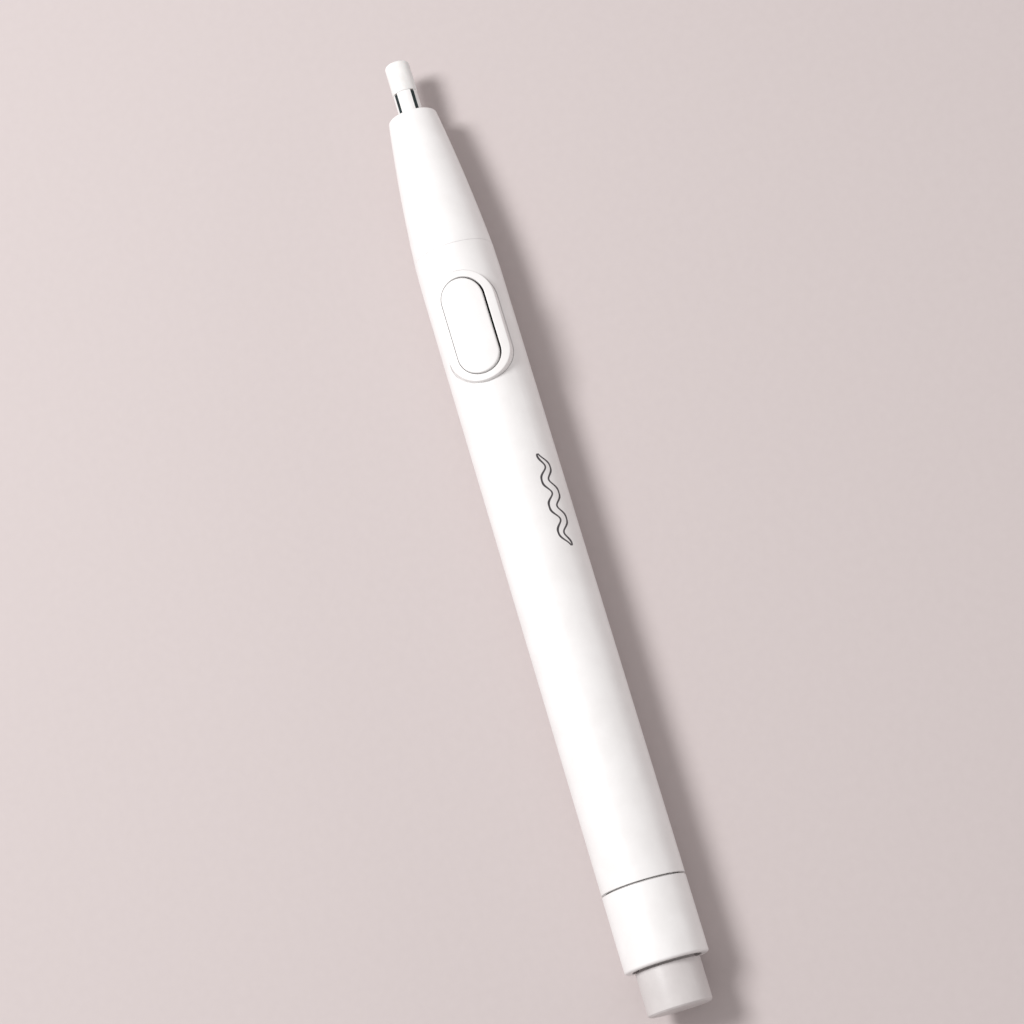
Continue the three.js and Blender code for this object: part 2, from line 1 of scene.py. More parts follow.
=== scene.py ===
"""A white pen-shaped electric eraser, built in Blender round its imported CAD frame.

Metres, in the CAD's frame: +X runs along the pen to the eraser and +Z is up through the push
button. Outlines are written in millimetres: a station is the distance from the tail end, and
heights and radii are measured from the pen's axis.
"""
import json
import math

import bmesh
import bpy
from mathutils import Matrix, Vector


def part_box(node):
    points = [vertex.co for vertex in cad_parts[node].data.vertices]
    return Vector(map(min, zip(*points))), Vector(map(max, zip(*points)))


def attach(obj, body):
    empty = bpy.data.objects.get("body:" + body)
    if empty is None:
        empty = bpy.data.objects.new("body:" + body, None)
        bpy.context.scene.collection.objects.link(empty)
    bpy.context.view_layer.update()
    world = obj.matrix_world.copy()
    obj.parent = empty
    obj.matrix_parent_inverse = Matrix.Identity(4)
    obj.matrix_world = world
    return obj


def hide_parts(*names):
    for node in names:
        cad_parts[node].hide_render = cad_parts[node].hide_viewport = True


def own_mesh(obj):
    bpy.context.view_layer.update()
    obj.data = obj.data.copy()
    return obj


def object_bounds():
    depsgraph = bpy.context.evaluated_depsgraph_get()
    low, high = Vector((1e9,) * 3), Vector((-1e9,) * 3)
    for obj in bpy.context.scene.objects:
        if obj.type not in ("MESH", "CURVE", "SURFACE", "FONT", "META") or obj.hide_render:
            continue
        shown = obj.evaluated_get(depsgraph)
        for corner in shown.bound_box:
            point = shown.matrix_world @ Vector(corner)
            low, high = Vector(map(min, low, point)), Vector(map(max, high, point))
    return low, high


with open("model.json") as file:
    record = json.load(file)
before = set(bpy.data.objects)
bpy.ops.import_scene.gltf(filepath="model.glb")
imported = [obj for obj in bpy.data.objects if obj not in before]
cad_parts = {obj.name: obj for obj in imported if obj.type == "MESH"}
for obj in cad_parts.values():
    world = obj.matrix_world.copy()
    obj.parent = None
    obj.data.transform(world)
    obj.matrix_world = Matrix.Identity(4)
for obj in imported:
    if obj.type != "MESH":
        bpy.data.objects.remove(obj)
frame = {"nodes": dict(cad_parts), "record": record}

cad_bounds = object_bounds()

MM = 0.001
HANDLE = "handle"
SPINDLE = "spindle"
CAP = "tail_cap_assembly"

# Fineness of the meshes
OUTER_SIDES = 128           # sides of a turned outer piece
SMALL_SIDES = 96            # of the collet and the refill
LINER_SIDES = 64            # and of the collet's liner
PERIMETER = 112             # points round a stadium outline
SHARP = math.radians(38)    # edges that turn more than this stay crisp
PAD_SHARP = math.radians(50)

# Places taken from the frame
TAIL_X = cad_bounds[0].x
TIP_X = cad_bounds[1].x
LENGTH = TIP_X - TAIL_X
cap_low, cap_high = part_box("tail_cap")
BODY_RADIUS = (cap_high.y - cap_low.y) / 2
AXIS_Z = (cap_low.z + cap_high.z) / 2
CENTRE = Vector(((TAIL_X + TIP_X) / 2, 0, AXIS_Z))


def station(x):
    """The distance of an x in the frame from the tail end, in millimetres."""
    return (x - TAIL_X) / MM


def node_span(node):
    """The first and last station of a CAD node."""
    low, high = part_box(node)
    return station(low.x), station(high.x)


def node_radius(node):
    """Half a CAD node's width across the pen, in millimetres."""
    low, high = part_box(node)
    return (high.y - low.y) / 2 / MM


R = BODY_RADIUS / MM
SHOULDER = node_span("tail_cap")[0]
SPIGOT_END = node_span("tail_cap")[1]
NOSE_FRONT = node_span("nose_cone")[1]
NOSE_REAR = node_span("nose_cone")[0]
KNOB_R = node_radius("tail_knob")
BUTTON_LOW, BUTTON_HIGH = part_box("button_cap")
BUTTON_MID = (station(BUTTON_LOW.x) + station(BUTTON_HIGH.x)) / 2
BUTTON_WIDTH = (BUTTON_HIGH.y - BUTTON_LOW.y) / MM
BUTTON_TOP = (BUTTON_HIGH.z - AXIS_Z) / MM
COLLET_R = node_radius("collet")
HEAD_R = node_radius("eraser_refill")

# Sizes of the design that the frame's boxes don't give, in millimetres

# Edges of the turned outlines, from nearly sharp to clearly round
CRISP = 0.02
SEAM_EDGE = 0.03
FINE = 0.05
EDGE = 0.1
SOFT = 0.2
CORNER = 0.3

# The battery cap, and the barrel's end that it screws into
CAP_SEAM = 21.9
SEAM_WIDTH = 0.38           # the groove seen round the cap's seam
SEAM_DEPTH = 0.85
SEAM_SLIT = 0.1             # the open slit at the groove's foot
SHOULDER_ROUND = 0.5
KNOB_ROOM = 0.08            # between the knob and its socket
MOUTH_ROOM = 0.42           # and at the socket's wider mouth
MOUTH_DEPTH = 1.9
MOUTH_TAPER = 0.3
MOUTH_EDGE = 0.15
SOCKET_END = 15.0
WEB_END = 16.5
SPIGOT_R = 5.6
SPIGOT_BORE_R = 4.4
SPIGOT_ROUND = 0.25
SEAL_SEAT = (22.25, 23.45)
SEAL_SEAT_R = 5.25
THREAD_BORE_R = 6.45
THREAD_BORE_END = 27.5
THREAD_RELIEF = 0.5

# The screw thread's ridges
THREAD_START = 24.1
THREAD_LEAD = 1.6
CAP_CREST = 6.2
BARREL_CREST = 5.95
RIDGE_FOOT = 0.36           # half the ridge's width at its foot
RIDGE_CREST = 0.2           # and at its crest
RIDGE_SINK = 0.1            # how deep its foot lies in the wall
RIDGE_TURNS = 2
RIDGE_STEPS = 64            # to one turn
RIDGE_FADE = 6              # it fades in and out over one part in six of its length

# The knob at the tail
BEVEL_LENGTH = 0.3
BEVEL_DEPTH = 0.32
BEVEL_ROUND = 0.12
NECK_R = 5.0                # where the knob leaves the cap
NECK_WIDTH = 0.36
NECK_END = SHOULDER + 2.0
NECK_EDGE = 0.04
CUP_R = 4.6                 # the knob's hollow, open towards the cells
CUP_FLOOR = 1.6
CUP_ROUND = 0.4

# The barrel's front and the nose
BORE_R = 5.9
BARREL_FRONT_R = 7.4
TAPER_ROUND = 4.0
NOSE_SOCKET = 136.4
NOSE_SOCKET_R = 6.3
NOSE_SEAM = 141.4
NOSE_GAP = 0.04
NOSE_BASE_R = 7.38
NOSE_FACE_R = 4.55
NOSE_BULGE = 0.3
NOSE_SPIGOT_R = 6.15
TAPER_STEPS = 16
MOTOR_BORE_R = 5.25
MOTOR_STEP = 155.2          # where the motor's bore ends, and the coupling's begins
COUPLING_BORE_R = 3.85
COUPLING_STEP = 163.2
BEARING_BORE_R = 3.5
BEARING_STEP = 168.5
MOUTH_R = 2.75              # the hole in the nose's face
MOUTH_ROUND = 0.22

# The button
BUTTON_LENGTH = 18.2
BUTTON_REACH = (BUTTON_LENGTH - BUTTON_WIDTH) / 2       # half its straight part
BUTTON_GAP = 0.24
BUTTON_SHIFT = 0.15         # the button rests a little to one side of its opening
BUTTON_EDGE = 0.26
BUTTON_UNDERSIDE = 6.35
UNDERSIDE_CHAMFER = 0.15
BUTTON_RINGS = (0.85, 0.65, 0.45, 0.25, 0.08)           # rings of the face, as shares of its edge
CROWN_R = 16.0              # how the tops of button and pad curve across the pen
TAB_REACH = 0.85
TAB_ROOT = 1.0              # how far a tab reaches into the button
TAB_HALF = 1.7
TAB_HEIGHTS = (BUTTON_UNDERSIDE + 0.02, 6.9)
TAB_ROOM = 0.3
POCKET_HEIGHTS = (5.0, 7.15)
SWITCH_X = 127.4
PUSHER_BOTTOM = 4.75
PUSHER_REACH = 3.2
PUSHER_HALF = 2.4
PUSHER_SINK = 0.2
BELOW_WALL = 2.0            # heights that a cut spans to go right through the wall
ABOVE_PAD = 10.0

# The raised pad round the button
PAD_LENGTH = 21.2
PAD_WIDTH = 11.4
PAD_REACH = (PAD_LENGTH - PAD_WIDTH) / 2
PAD_TOP = 8.2
PAD_TOP_STEPS = 5
PAD_LIP = 0.12              # rounding of its inner edge
PAD_EDGE = 0.2              # and of its outer edge
PAD_LEAN = 0.08             # how far its wall leans out from its top edge
PAD_FOOT = 0.06             # the hollow curve at the wall's foot
PAD_FOOT_STEPS = 6
PAD_SKIRT = 0.35            # how deep the foot dips into the barrel
PAD_ROOT_R = 6.7
PAD_SEAM = 0.1              # the fine seam round its foot
PAD_SEAM_DEPTH = 0.2
PAD_CUT = 0.4               # the width of the cut that makes the seam

# The collet, its liner and the refill
HEAD_BASE = 174.6           # where the eraser's head begins
FIT = 0.02                  # drawn clearance of the collet
COLLET_BORE_R = 1.86
COLLET_FLOOR = 160.2
COLLET_ROUND = 0.25
COLLET_LIP = 0.06
SLOTS = 4
SLOT_START = 163.5
SLOT_WIDTH = 0.8
SLOT_HEIGHTS = (1.5, 3.0)
PAST_END = 1.0              # how far a slot's cutter runs past the collet's end
LINER_BORE_R = 1.48
LINER_R = 1.79
RIB_FOOT = 1.6
RIB_ROOM = 0.03
RIB_SETBACK = 0.2
RIB_DIP = 0.08              # how far a rib lies under the collet's surface
SHANK_R = 1.36
HEAD_ROUND = 0.7

# The springs
BATTERY_WIRE = 0.26
BATTERY_TURNS = 3
SWITCH_WIRE = 0.16
SWITCH_TURNS = 2.5
COIL_MARGIN = 1.2           # from a coil's end to its wire's middle, in wire radii


# ---------------------------------------------------------------- mesh helpers

def place(x, y, z):
    """A point of the pen, from millimetres about its axis, in the frame."""
    return Vector((TAIL_X + x * MM, y * MM, AXIS_Z + z * MM))


def new_piece(name, vertices, faces, sharp=SHARP):
    """A mesh object with outward faces, smooth but for its sharp edges."""
    mesh = bpy.data.meshes.new(name)
    mesh.from_pydata([tuple(v) for v in vertices], [], faces)
    work = bmesh.new()
    work.from_mesh(mesh)
    bmesh.ops.recalc_face_normals(work, faces=work.faces)
    work.to_mesh(mesh)
    work.free()
    piece = bpy.data.objects.new(name, mesh)
    bpy.context.scene.collection.objects.link(piece)
    smooth(piece, sharp)
    return piece


def smooth(piece, sharp=SHARP):
    """Smooth shading, but for edges that turn more than `sharp`."""
    piece.data.shade_smooth()
    piece.data.set_sharp_from_angle(angle=sharp)


def rounded(outline, closed=True, steps=6):
    """Corner points (x, radius, fillet) as a plain outline whose corners are arcs."""
    longest = 0.49      # the share of a side that one corner's arc may take
    points = []
    count = len(outline)
    for index, (x, y, fillet) in enumerate(outline):
        here = Vector((x, y))
        is_end = not closed and index in (0, count - 1)
        if is_end or fillet <= 0:
            points.append(here)
            continue
        before = Vector(outline[index - 1][:2]) - here
        after = Vector(outline[(index + 1) % count][:2]) - here
        half = before.angle(after) / 2
        reach = min(fillet / math.tan(half), longest * before.length, longest * after.length)
        start = here + before.normalized() * reach
        end = here + after.normalized() * reach
        centre_way = (before.normalized() + after.normalized()).normalized()
        centre = here + centre_way * (reach / math.cos(half))
        radius = (start - centre).length
        for step in range(steps + 1):
            straight = start.lerp(end, step / steps) - centre
            points.append(centre + straight.normalized() * radius)
    return points


def turned(name, outline, closed=True, sides=OUTER_SIDES):
    """A piece turned about the pen's axis from an outline of (station, radius, fillet)."""
    on_axis = 1e-6
    vertices, rows = [], []
    for point in rounded(outline, closed):
        if point.y < on_axis:
            rows.append([len(vertices)] * sides)
            vertices.append(place(point.x, 0, 0))
            continue
        rows.append([len(vertices) + side for side in range(sides)])
        for side in range(sides):
            angle = 2 * math.pi * side / sides
            vertices.append(place(point.x, point.y * math.sin(angle), point.y * math.cos(angle)))
    pairs = list(zip(rows, rows[1:]))
    if closed:
        pairs.append((rows[-1], rows[0]))
    return new_piece(name, vertices, quads(pairs, sides))


def quads(row_pairs, sides):
    """Faces between pairs of closed rows, as triangles where a row is one point."""
    faces = []
    for low, high in row_pairs:
        for side in range(sides):
            ahead = (side + 1) % sides
            corners = [low[side], low[ahead], high[ahead], high[side]]
            face = list(dict.fromkeys(corners))
            if len(face) > 2:
                faces.append(face)
    return faces


def block(name, low, high):
    """A plain block between two corners, in pen millimetres."""
    corners = [
        place(x, y, z)
        for x in (low[0], high[0])
        for y in (low[1], high[1])
        for z in (low[2], high[2])
    ]
    faces = [(0, 1, 3, 2), (4, 6, 7, 5), (0, 4, 5, 1), (2, 3, 7, 6), (0, 2, 6, 4), (1, 5, 7, 3)]
    return new_piece(name, corners, faces)


def combine(piece, tool, operation):
    """Joins or cuts a piece with a tool, which is used up."""
    modifier = piece.modifiers.new("combine", "BOOLEAN")
    modifier.operation = operation
    modifier.solver = "MANIFOLD"
    modifier.object = tool
    apply_modifiers(piece)
    bpy.data.objects.remove(tool, do_unlink=True)


def apply_modifiers(piece):
    """Makes a piece's modifiers part of its mesh."""
    graph = bpy.context.evaluated_depsgraph_get()
    made = bpy.data.meshes.new_from_object(piece.evaluated_get(graph))
    old = piece.data
    piece.modifiers.clear()
    piece.data = made
    bpy.data.meshes.remove(old)
    smooth(piece)


def settle(piece, body, slot, material, *nodes):
    """Gives a piece its material and its body, and hides the CAD nodes it stands for; the slot is
    not used.
    """
    piece.data.materials.clear()
    piece.data.materials.append(material)
    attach(piece, body)
    if nodes:
        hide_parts(*nodes)


# ---------------------------------------------------------------- stadium shapes

def stadium_ring(reach, radius):
    """Points (x, y) round a stadium: a segment of half-length `reach`, widened by `radius`."""
    arc = PERIMETER // 4
    straight = PERIMETER // 4
    points = []
    for end in (1, -1):
        for step in range(arc):
            angle = end * math.pi / 2 - math.pi * (step / arc)
            points.append((end * reach + radius * math.cos(angle), radius * math.sin(angle)))
        for step in range(straight):
            points.append((end * (reach - 2 * reach * step / straight), -end * radius))
    return points


def flat(z):
    """A constant height, for a ring of a stadium piece."""
    return lambda y: z


def crowned(top):
    """The height of the crowned top of the pad or the button, across the pen."""
    return lambda y: top - CROWN_R + math.sqrt(CROWN_R**2 - y**2)


def on_tube(radius, above=0.0):
    """The height of a tube about the pen's axis, or `above` it, across the pen."""
    return lambda y: math.sqrt(max(radius**2 - y**2, 0)) + above


def stadium_solid(name, levels, closed):
    """A piece from stadium rings: each level is (reach, radius, height as a function of y)."""
    vertices, rows = [], []
    for reach, radius, height in levels:
        rows.append(list(range(len(vertices), len(vertices) + PERIMETER)))
        for x, y in stadium_ring(reach, radius):
            vertices.append(place(BUTTON_MID + x, y, height(y)))
    pairs = list(zip(rows, rows[1:]))
    faces = []
    if closed:
        pairs.append((rows[-1], rows[0]))
    else:
        faces = [rows[0], rows[-1]]
    return new_piece(name, vertices, quads(pairs, PERIMETER) + faces, PAD_SHARP)


def edge_arc(reach, radius, top, depth, inward, steps=5):
    """Levels that round the top edge of a wall. `inward` is 1 where the top lies inside it."""
    levels = []
    for step in range(steps + 1):
        turn = math.pi / 2 * step / steps
        shift = depth * (1 - math.cos(turn))
        drop = depth * (1 - math.sin(turn))
        levels.append((reach, radius - inward * shift, crowned(top - drop)))
    return levels


# ---------------------------------------------------------------- node helpers

class Nodes:
    """A material's node tree, with short calls for the nodes used here."""

    def __init__(self, name):
        self.material = bpy.data.materials.new(name)
        self.material.use_nodes = True
        self.tree = self.material.node_tree
        self.shader = self.tree.nodes["Principled BSDF"]
        self.point = self.new("ShaderNodeTexCoord").outputs["Object"]

    def new(self, kind, **settings):
        """Adds a node."""
        node = self.tree.nodes.new(kind)
        for key, value in settings.items():
            setattr(node, key, value)
        return node

    def feed(self, socket, value):
        """Links an output to a socket, or sets the socket to a plain value."""
        if isinstance(value, bpy.types.NodeSocket):
            self.tree.links.new(value, socket)
        else:
            socket.default_value = value

    def axes(self):
        """The point's x, y and z, in the frame's metres."""
        node = self.new("ShaderNodeSeparateXYZ")
        self.feed(node.inputs[0], self.point)
        return node.outputs

    def math(self, operation, first, second=0.0, third=0.0):
        """The result of an operation on outputs or plain numbers."""
        node = self.new("ShaderNodeMath", operation=operation)
        for socket, value in zip(node.inputs, (first, second, third)):
            self.feed(socket, value)
        return node.outputs[0]

    def stretched(self, scale):
        """The point, scaled along each axis."""
        node = self.new("ShaderNodeMapping")
        self.feed(node.inputs["Vector"], self.point)
        node.inputs["Scale"].default_value = scale
        return node.outputs["Vector"]

    def noise(self, scale, detail=3.0, stretch=(1, 1, 1), roughness=0.5):
        """Soft noise about 0.5. `stretch` below 1 draws it out along that axis."""
        node = self.new("ShaderNodeTexNoise")
        self.feed(node.inputs["Vector"], self.stretched(stretch))
        node.inputs["Scale"].default_value = scale
        node.inputs["Detail"].default_value = detail
        node.inputs["Roughness"].default_value = roughness
        return node.outputs["Fac"]

    def spread(self, value, low, high, from_low=0.3, from_high=0.7):
        """Maps the range that noise mostly fills, or another one, to low and high."""
        node = self.new("ShaderNodeMapRange")
        self.feed(node.inputs["Value"], value)
        limits = (from_low, from_high, low, high)
        for name, limit in zip(("From Min", "From Max", "To Min", "To Max"), limits):
            node.inputs[name].default_value = limit
        return node.outputs["Result"]

    def ramp(self, value, stops):
        """A colour from stops of (position, colour)."""
        node = self.new("ShaderNodeValToRGB")
        self.feed(node.inputs["Fac"], value)
        elements = node.color_ramp.elements
        while len(elements) < len(stops):
            elements.new(0.5)
        for element, (position, colour) in zip(elements, stops):
            element.position = position
            element.color = (*colour, 1)
        return node.outputs["Color"]

    def mix(self, factor, first, second):
        """The first colour at factor 0, the second at 1."""
        node = self.new("ShaderNodeMix", data_type="RGBA")
        self.feed(node.inputs["Factor"], factor)
        colour_sockets = [socket for socket in node.inputs if socket.type == "RGBA"]
        for socket, value in zip(colour_sockets, (first, second)):
            self.feed(socket, (*value, 1) if isinstance(value, tuple) else value)
        return next(socket for socket in node.outputs if socket.type == "RGBA")

    def bump(self, height, distance, strength=1.0, under=None):
        """Surface relief `distance` metres deep, on top of another bump if given."""
        node = self.new("ShaderNodeBump")
        self.feed(node.inputs["Height"], height)
        node.inputs["Distance"].default_value = distance
        node.inputs["Strength"].default_value = strength
        if under is not None:
            self.feed(node.inputs["Normal"], under)
        return node.outputs["Normal"]

    def set(self, **sockets):
        """Sets the shader's inputs, named with underscores for spaces, and gives the material."""
        for name, value in sockets.items():
            self.feed(self.shader.inputs[name.replace("_", " ")], value)
        return self.material


def speckled(nodes, light, dark, scale=260.0):
    """A colour that wanders a little between two close tones, with faint fine specks."""
    tone = nodes.ramp(nodes.noise(scale, detail=4.0), [(0.35, dark), (0.65, light)])
    specks = nodes.spread(nodes.noise(9000.0, detail=1.0), 0.0, 0.35, from_low=0.70, from_high=0.80)
    speck_colour = tuple(0.93 * channel for channel in dark)
    return nodes.mix(specks, tone, speck_colour)


# ---------------------------------------------------------------- materials

SHELL_LIGHT = (0.895, 0.888, 0.884)
SHELL_DARK = (0.865, 0.855, 0.850)
SHELL_ROUGH = 0.33
FLOOR_LIGHT = (0.60, 0.54, 0.535)
FLOOR_DARK = (0.58, 0.52, 0.515)

# The print on the barrel, in millimetres
PRINT_X = 0.2               # middle of the print along the pen, from the pen's middle
PRINT_TURN = 43.0           # degrees round the barrel from the button
PRINT_REACH = 8.8           # half its length
WAVE_PITCH = 5.0
WAVE_HEIGHT = 0.7
RIBBON_HALF = 0.8
PRINT_STROKE = 0.17
PRINT_BLUR = 0.05
INK = (0.055, 0.05, 0.055)


def moulded(name, light, dark, rough, grain=0.012, decorate=None):
    """Injection-moulded plastic: fine grain, soft flow marks, handling scuffs."""
    nodes = Nodes(name)
    scuffs = nodes.noise(420.0, detail=5.0, stretch=(0.25, 1, 1), roughness=0.65)
    hairlines = nodes.noise(2600.0, detail=2.0, stretch=(0.06, 1, 1))
    marks = nodes.math("MULTIPLY_ADD", hairlines, 0.35, nodes.math("MULTIPLY", scuffs, 0.65))
    ripple = nodes.noise(1500.0, detail=2.0)
    orange_peel = nodes.bump(ripple, distance=grain * MM * 2.2, strength=0.5)
    pores = nodes.noise(6500.0, detail=3.0)
    texture = nodes.bump(pores, distance=grain * MM, strength=0.6, under=orange_peel)
    nodes.set(
        Base_Color=speckled(nodes, light, dark),
        Roughness=nodes.spread(marks, rough - 0.05, rough + 0.09),
        Normal=texture,
        IOR=1.49,
    )
    if decorate:
        decorate(nodes)
    return nodes.material


def add_print(nodes):
    """Draws a wavy outlined ribbon on the barrel's side, as printed on its surface."""
    x, y, z = nodes.axes()
    along = nodes.math("SUBTRACT", x, CENTRE.x + PRINT_X * MM)
    along = nodes.math("DIVIDE", along, MM)
    sideways = nodes.math("MULTIPLY", y, -1.0)
    angle = nodes.math("ARCTAN2", sideways, nodes.math("SUBTRACT", z, AXIS_Z))
    angle = nodes.math("SUBTRACT", angle, math.radians(PRINT_TURN))
    around = nodes.math("MULTIPLY", angle, R)

    turns = 2 * math.pi / WAVE_PITCH
    phase = nodes.math("MULTIPLY", along, turns)
    wave = nodes.math("MULTIPLY", nodes.math("SINE", phase), WAVE_HEIGHT)
    slope = nodes.math("MULTIPLY", nodes.math("COSINE", phase), turns * WAVE_HEIGHT)
    steepness = nodes.math("SQRT", nodes.math("MULTIPLY_ADD", slope, slope, 1.0))
    offset = nodes.math("ABSOLUTE", nodes.math("SUBTRACT", around, wave))
    offset = nodes.math("DIVIDE", offset, steepness)

    share = nodes.math("DIVIDE", along, PRINT_REACH)
    left = nodes.math("SUBTRACT", 1.0, nodes.math("MULTIPLY", share, share))
    taper = nodes.math("SQRT", nodes.math("MAXIMUM", left, 0.0))
    half = nodes.math("MULTIPLY", taper, RIBBON_HALF)
    edge = nodes.math("ABSOLUTE", nodes.math("SUBTRACT", offset, half))
    stroke = nodes.spread(edge, 1.0, 0.0, PRINT_STROKE, PRINT_STROKE + PRINT_BLUR)
    ink = nodes.math("MULTIPLY", stroke, nodes.math("GREATER_THAN", left, 0.0))
    base = nodes.shader.inputs["Base Color"].links[0].from_socket
    nodes.set(Base_Color=nodes.mix(ink, base, INK))


def eraser_vinyl():
    """Matt vinyl, a little translucent, with a crumbly surface and faint smudges."""
    nodes = Nodes("eraser_vinyl")
    smudge = nodes.noise(700.0, detail=5.0, stretch=(0.5, 1, 1), roughness=0.6)
    crumbs = nodes.noise(5200.0, detail=4.0, roughness=0.7)
    return nodes.set(
        Base_Color=nodes.ramp(smudge, [(0.3, (0.80, 0.79, 0.775)), (0.6, (0.875, 0.868, 0.855))]),
        Roughness=nodes.spread(smudge, 0.62, 0.82),
        Normal=nodes.bump(crumbs, distance=0.03 * MM, strength=0.7),
        IOR=1.45,
        Subsurface_Weight=0.12,
        Subsurface_Scale=1.2 * MM,
        Subsurface_Radius=(1.0, 0.8, 0.7),
    )


def rubber(name, dark, light):
    """Matt dark rubber or ferrite, with a pale bloom in patches."""
    nodes = Nodes(name)
    bloom = nodes.noise(900.0, detail=4.0)
    grain = nodes.noise(7000.0, detail=3.0)
    return nodes.set(
        Base_Color=nodes.ramp(bloom, [(0.35, dark), (0.7, light)]),
        Roughness=nodes.spread(bloom, 0.55, 0.8),
        Normal=nodes.bump(grain, distance=0.02 * MM, strength=0.6),
        IOR=1.5,
    )


def metal(name, light, dark, rough):
    """Drawn or plated metal: fine lines along the draw, a little tarnish."""
    nodes = Nodes(name)
    lines = nodes.noise(3500.0, detail=3.0, stretch=(0.05, 1, 1))
    tarnish = nodes.noise(500.0, detail=4.0)
    return nodes.set(
        Base_Color=nodes.ramp(tarnish, [(0.3, dark), (0.65, light)]),
        Metallic=1.0,
        Roughness=nodes.spread(lines, rough - 0.07, rough + 0.12),
        Normal=nodes.bump(lines, distance=0.012 * MM, strength=0.6),
    )


def windings():
    """Lacquered copper wire, laid in turns along the pole, with painted shade darkening the grooves
    between turns.
    """
    pitch = 0.18 * MM
    nodes = Nodes("copper_windings")
    phase = nodes.math("MULTIPLY", nodes.axes()["X"], 2 * math.pi / pitch)
    # painted shade: the colour turns dark brown in the grooves between the wire's turns, where
    # shade falls
    painted_turn_shade = nodes.spread(nodes.math("SINE", phase), 0.0, 1.0, from_low=-1.0, from_high=1.0)
    return nodes.set(
        Base_Color=nodes.ramp(painted_turn_shade, [(0.0, (0.20, 0.06, 0.025)), (0.7, (0.66, 0.28, 0.13))]),
        Metallic=1.0,
        Roughness=nodes.spread(nodes.noise(2000.0), 0.25, 0.45),
        Normal=nodes.bump(painted_turn_shade, distance=0.04 * MM, strength=0.8),
    )


def board():
    """A lacquered circuit board with faint tracks."""
    nodes = Nodes("circuit_board")
    cells = nodes.new("ShaderNodeTexVoronoi", distance="CHEBYCHEV")
    nodes.feed(cells.inputs["Vector"], nodes.point)
    cells.inputs["Scale"].default_value = 700.0
    tracks = nodes.spread(cells.outputs["Distance"], 0.0, 1.0, from_low=0.45, from_high=0.52)
    return nodes.set(
        Base_Color=nodes.mix(tracks, (0.012, 0.105, 0.035), (0.03, 0.21, 0.075)),
        Roughness=nodes.spread(nodes.noise(1500.0), 0.25, 0.4),
        Normal=nodes.bump(tracks, distance=0.03 * MM, strength=0.6),
        IOR=1.5,
    )


def battery_jacket():
    """A plain cell jacket: dark body, lighter band at the positive end, bare metal at its ends."""
    nodes = Nodes("battery_jacket")
    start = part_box("rear_battery")[0].x
    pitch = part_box("front_battery")[0].x - start
    along = nodes.math("DIVIDE", nodes.math("SUBTRACT", nodes.axes()["X"], start), pitch)
    along = nodes.math("FRACT", along)
    negative_end, positive_end = (0.62, 0.62, 0.62), (0.66, 0.66, 0.66)
    body, band = (0.03, 0.045, 0.07), (0.55, 0.46, 0.30)
    stripes = [
        (0.0, negative_end),
        (0.012, body),
        (0.70, body),
        (0.71, band),
        (0.965, band),
        (0.975, positive_end),
    ]
    wear = nodes.spread(nodes.noise(1200.0), 0.0, 0.12)
    streaks = nodes.noise(1800.0, detail=3.0, stretch=(0.1, 1, 1))
    return nodes.set(
        Base_Color=nodes.mix(wear, nodes.ramp(along, stripes), (0.3, 0.3, 0.3)),
        Metallic=0.6,
        Roughness=nodes.spread(streaks, 0.28, 0.45),
        Normal=nodes.bump(nodes.noise(900.0), distance=0.03 * MM, strength=0.4),
    )


def floor_paper():
    """Pale matt paper."""
    nodes = Nodes("floor_paper")
    fibre = nodes.noise(600.0, detail=5.0)
    return nodes.set(
        Base_Color=nodes.ramp(fibre, [(0.2, FLOOR_DARK), (0.8, FLOOR_LIGHT)]),
        Roughness=nodes.spread(fibre, 0.75, 0.9),
        Normal=nodes.bump(fibre, distance=0.05 * MM, strength=0.4),
        Specular_IOR_Level=0.2,
    )


SHELL = moulded("shell_white", SHELL_LIGHT, SHELL_DARK, SHELL_ROUGH)
BARREL = moulded("shell_printed", SHELL_LIGHT, SHELL_DARK, SHELL_ROUGH, decorate=add_print)
KNOB = moulded("knob_grey", (0.66, 0.63, 0.625), (0.62, 0.59, 0.585), 0.38, 0.02)
VINYL = eraser_vinyl()
DARK_RUBBER = rubber("dark_rubber", (0.012, 0.013, 0.014), (0.03, 0.032, 0.034))
# near-black, teal-tinted liner: painted shade, so the collet's slots read as dark all the way in
SLOT_SHADE_SLEEVE = rubber("dark_sleeve", (0.003, 0.012, 0.013), (0.008, 0.03, 0.032))
BLACK_PLASTIC = moulded("black_plastic", (0.03, 0.03, 0.033), (0.018, 0.018, 0.02), 0.45, 0.02)
CREAM_PLASTIC = moulded("cream_plastic", (0.76, 0.72, 0.62), (0.70, 0.66, 0.56), 0.42, 0.02)
STEEL = metal("plated_steel", (0.66, 0.67, 0.68), (0.54, 0.55, 0.56), 0.28)
WIRE = metal("spring_wire", (0.74, 0.75, 0.76), (0.6, 0.61, 0.62), 0.2)
BRASS = metal("bare_brass", (0.78, 0.57, 0.25), (0.62, 0.43, 0.17), 0.3)
COPPER = metal("bare_copper", (0.72, 0.33, 0.18), (0.5, 0.2, 0.1), 0.32)
FERRITE = rubber("ferrite", (0.045, 0.045, 0.05), (0.075, 0.075, 0.08))


# ---------------------------------------------------------------- outer pieces

